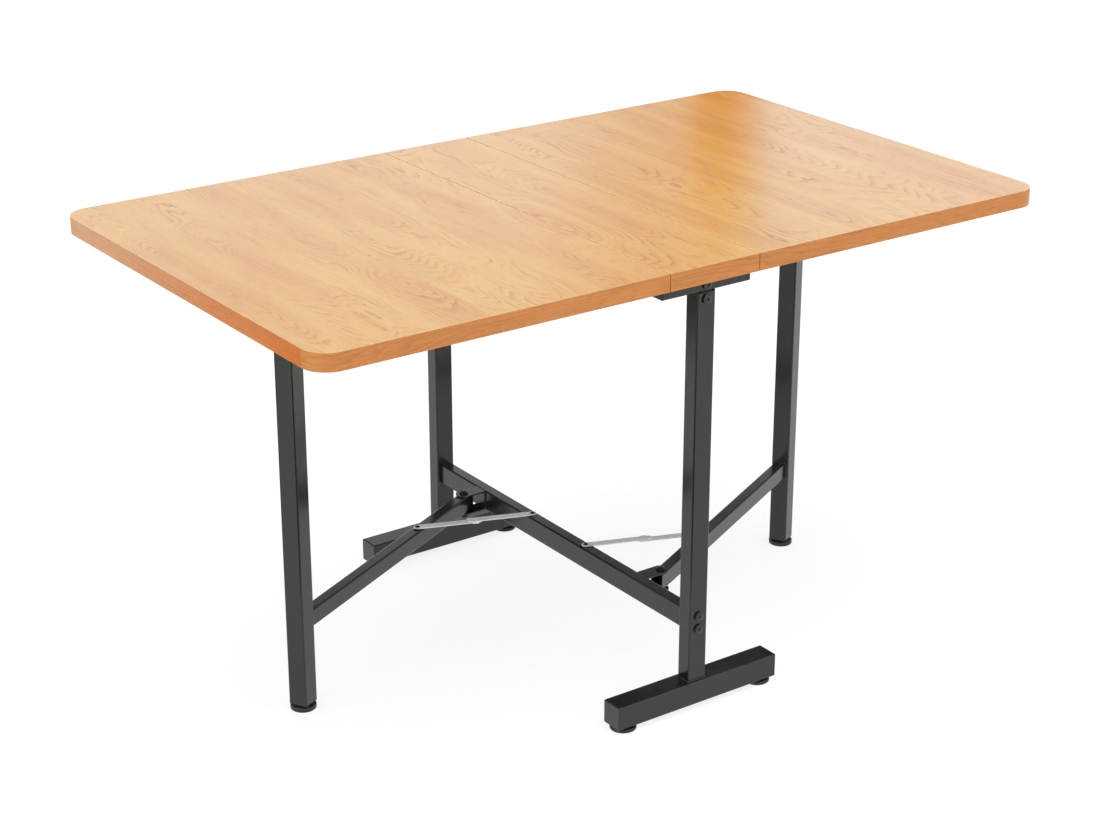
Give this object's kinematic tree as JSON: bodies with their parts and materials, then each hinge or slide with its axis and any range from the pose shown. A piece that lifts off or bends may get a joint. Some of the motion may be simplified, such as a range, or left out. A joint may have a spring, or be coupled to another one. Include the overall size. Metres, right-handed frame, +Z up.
{
  "type": "gate-leg folding table",
  "caption": "Rectangular drop-leaf table with a narrow fixed centre board on T-shaped steel stands, hinged leaves, and swinging gate legs locked by folding stays.",
  "frame": {"origin": "on the floor under the middle of the table top", "axes": "+X along the length of the top, +Y across it, +Z up"},
  "size_m": [1.36, 0.796, 0.75],
  "materials": {
    "oak_board": "satin oak-look laminate",
    "edge_band": "satin oak-look edge band",
    "charcoal_steel": "satin charcoal powder coat",
    "black_steel": "black oxide",
    "zinc_steel": "bright zinc",
    "black_plastic": "moulded black"
  },
  "bodies": {
    "frame": {"centre_board": "oak_board", "centre_edge_band": "edge_band", "left_hinge_frame_plates": "zinc_steel", "right_hinge_frame_plates": "zinc_steel", "hinge_frame_screws": "zinc_steel", "hinge_pins": "zinc_steel", "near_post": "charcoal_steel", "far_post": "charcoal_steel", "near_top_rail": "charcoal_steel", "far_top_rail": "charcoal_steel", "near_foot": "charcoal_steel", "far_foot": "charcoal_steel", "near_joint_strap": "black_steel", "far_joint_strap": "black_steel", "rail_end_plugs": "black_plastic", "rail_bolts": "black_steel", "rail_wood_screws": "zinc_steel", "foot_end_plugs": "black_plastic", "near_left_foot_glide": "black_plastic", "near_right_foot_glide": "black_plastic", "far_left_foot_glide": "black_plastic", "far_right_foot_glide": "black_plastic", "stretcher": "charcoal_steel", "stretcher_inserts": "black_steel", "stretcher_bolts": "black_steel", "left_gate_bracket": "charcoal_steel", "right_gate_bracket": "charcoal_steel", "pivot_bolts": "black_steel", "pivot_nuts": "black_steel", "stay_anchor_screws": "black_steel"},
    "left_leaf": {"left_leaf_board": "oak_board", "left_leaf_edge_band": "edge_band", "left_hinge_leaf_plates": "zinc_steel", "left_hinge_leaf_screws": "zinc_steel"},
    "left_gate": {"left_gate_arm": "charcoal_steel", "left_gate_leg": "charcoal_steel", "left_pivot_sleeve": "black_steel", "left_leg_top_plug": "black_plastic", "left_leg_glide": "black_plastic"},
    "left_inner_link": {"left_stay_inner_link": "zinc_steel", "left_stay_elbow_rivet": "zinc_steel"},
    "left_outer_link": {"left_stay_outer_link": "zinc_steel", "left_stay_arm_screw": "black_steel"},
    "right_leaf": {"right_leaf_board": "oak_board", "right_leaf_edge_band": "edge_band", "right_hinge_leaf_plates": "zinc_steel", "right_hinge_leaf_screws": "zinc_steel"},
    "right_gate": {"right_gate_arm": "charcoal_steel", "right_gate_leg": "charcoal_steel", "right_pivot_sleeve": "black_steel", "right_leg_top_plug": "black_plastic", "right_leg_glide": "black_plastic"},
    "right_inner_link": {"right_stay_inner_link": "zinc_steel", "right_stay_elbow_rivet": "zinc_steel"},
    "right_outer_link": {"right_stay_outer_link": "zinc_steel", "right_stay_arm_screw": "black_steel"}
  },
  "joints": [
    {"name": "left_gate_swing", "type": "hinge", "parent": "frame", "child": "left_gate", "pos_m": [-0.047, 0.2205, 0.15], "axis": [0, 0, 1], "range_deg": [0, 63]},
    {"name": "left_leaf_lift", "type": "hinge", "parent": "frame", "child": "left_leaf", "pos_m": [-0.08475, 0, 0.7181], "axis": [0, 1, 0], "range_deg": [0, 2]},
    {"name": "left_stay_anchor_turn", "type": "hinge", "parent": "frame", "child": "left_inner_link", "pos_m": [0, 0.0775, 0.169], "axis": [0, 0, 1], "range_deg": [-1, 95.86]},
    {"name": "left_stay_elbow_turn", "type": "hinge", "parent": "left_inner_link", "child": "left_outer_link", "pos_m": [-0.10298, 0.11615, 0.169], "axis": [0, 0, -1], "range_deg": [-1, 154.45]},
    {"name": "right_gate_swing", "type": "hinge", "parent": "frame", "child": "right_gate", "pos_m": [0.047, -0.2205, 0.15], "axis": [0, 0, 1], "range_deg": [0, 63]},
    {"name": "right_leaf_lift", "type": "hinge", "parent": "frame", "child": "right_leaf", "pos_m": [0.08475, 0, 0.7181], "axis": [0, -1, 0], "range_deg": [0, 2]},
    {"name": "right_stay_anchor_turn", "type": "hinge", "parent": "frame", "child": "right_inner_link", "pos_m": [0, -0.0775, 0.169], "axis": [0, 0, 1], "range_deg": [-1, 95.86]},
    {"name": "right_stay_elbow_turn", "type": "hinge", "parent": "right_inner_link", "child": "right_outer_link", "pos_m": [0.10298, -0.11615, 0.169], "axis": [0, 0, -1], "range_deg": [-1, 154.45]}
  ],
  "couplings": [
    {"joint": "left_stay_anchor_turn", "follows": "left_gate_swing", "ratio": 1.5057},
    {"joint": "left_stay_elbow_turn", "follows": "left_gate_swing", "ratio": 2.4357},
    {"joint": "right_stay_anchor_turn", "follows": "right_gate_swing", "ratio": 1.5057},
    {"joint": "right_stay_elbow_turn", "follows": "right_gate_swing", "ratio": 2.4357}
  ]
}
